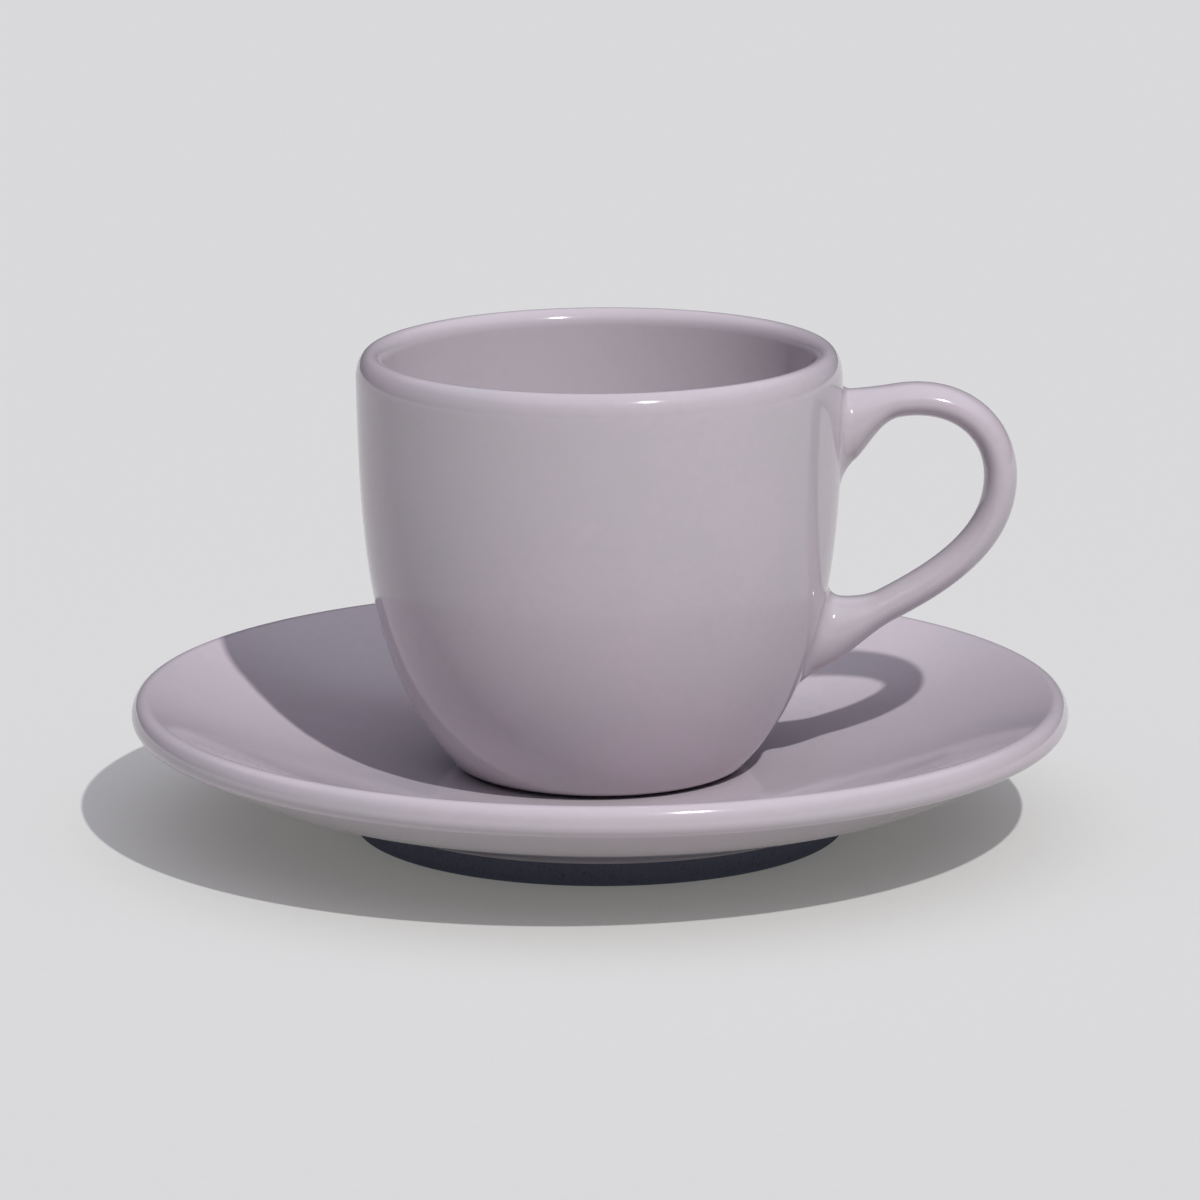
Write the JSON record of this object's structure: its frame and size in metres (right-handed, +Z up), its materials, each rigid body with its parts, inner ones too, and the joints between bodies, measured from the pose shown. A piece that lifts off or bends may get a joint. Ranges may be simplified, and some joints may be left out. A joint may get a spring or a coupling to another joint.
{
  "type": "coffee cup with saucer",
  "caption": "Glazed coffee cup with a rounded lip, tapering bowl and ear-shaped handle, standing loose in the well of a round saucer with a rolled rim and a foot ring.",
  "frame": {"origin": "centre of the saucer's foot ring, on the table", "axes": "+Z up along the axis that the saucer and the cup are turned about, +X towards the handle"},
  "size_m": [0.15, 0.15, 0.0775],
  "materials": {
    "saucer": "glossy mauve-grey glaze",
    "cup": "glossy mauve-grey glaze",
    "handle": "glossy mauve-grey glaze",
    "slip": "fired slip under the same glaze"
  },
  "bodies": {
    "saucer": {"saucer": "saucer"},
    "cup": {"cup_body": "cup", "cup_handle": "handle", "handle_upper_slip_joint": "slip", "handle_lower_slip_joint": "slip"}
  },
  "joints": [
    {"name": "cup_lift", "type": "slide", "parent": "saucer", "child": "cup", "axis": [0, 0, 1], "range_m": [0, 0.08]}
  ]
}
